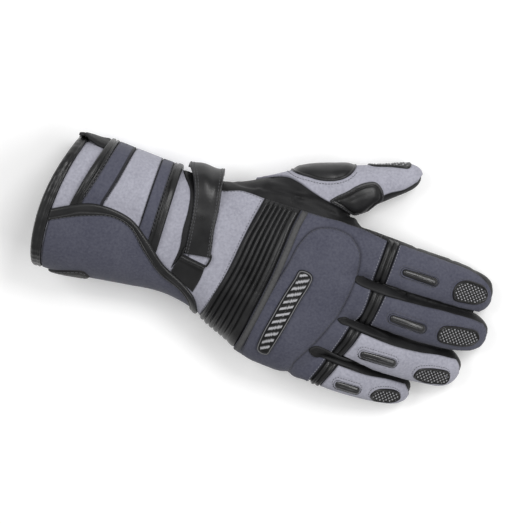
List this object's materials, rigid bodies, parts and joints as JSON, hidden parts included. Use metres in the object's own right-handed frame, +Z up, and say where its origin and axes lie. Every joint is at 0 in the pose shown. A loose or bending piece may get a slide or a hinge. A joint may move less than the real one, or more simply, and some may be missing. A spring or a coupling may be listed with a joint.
{
  "type": "riding glove",
  "caption": "Right-hand winter riding glove with a long gauntlet cuff, wrist strap, pleated back, knuckle guard and padded thumb, lying palm down.",
  "frame": {"origin": "on the resting plane, under the middle of the whole glove", "axes": "+X from the cuff to the fingertips, +Y towards the thumb, +Z up through the back of the hand"},
  "size_m": [0.3235, 0.1683, 0.068],
  "materials": {
    "black_leather": "semi-gloss grained",
    "slate_textile": "matt woven",
    "grey_textile": "matt woven",
    "black_rubber": "matt moulded"
  },
  "bodies": {
    "root": {"gauntlet_shell": "grey_textile", "palm_shell": "black_leather", "index_finger": "black_leather", "middle_finger": "black_leather", "ring_finger": "black_leather", "little_finger": "black_leather", "thumb_shell": "black_leather", "cuff_binding": "black_leather", "cuff_gusset": "black_leather", "closure_rear_binding": "black_leather", "closure_rear_stripe": "slate_textile", "closure_middle_stripe": "grey_textile", "closure_front_stripe": "slate_textile", "closure_front_binding": "black_leather", "cuff_flap": "slate_textile", "cuff_flap_binding": "black_leather", "pull_tab": "black_leather", "wrist_strap": "black_leather", "strap_keeper": "black_rubber", "strap_anchor": "black_leather", "strap_backing": "black_leather", "rib_panel": "black_leather", "back_panel": "slate_textile", "fourchette_index_middle": "black_leather", "fourchette_middle_ring": "black_leather", "fourchette_ring_little": "black_leather", "knuckle_guard": "slate_textile", "badge": "black_rubber", "index_flex_band": "black_leather", "index_back": "slate_textile", "index_bar": "black_rubber", "index_tip_pad": "black_rubber", "middle_flex_band": "black_leather", "middle_back": "slate_textile", "middle_bar": "black_rubber", "middle_tip_pad": "black_rubber", "ring_flex_band": "black_leather", "ring_back": "grey_textile", "ring_bar": "black_rubber", "ring_tip_pad": "black_rubber", "little_flex_band": "black_leather", "little_back": "grey_textile", "little_bar": "black_rubber", "little_tip_pad": "black_rubber", "thumb_back": "grey_textile", "thumb_knuckle_pad": "black_leather", "thumb_side_pad": "black_leather", "thumb_tip_pad": "black_rubber"}
  },
  "joints": []
}
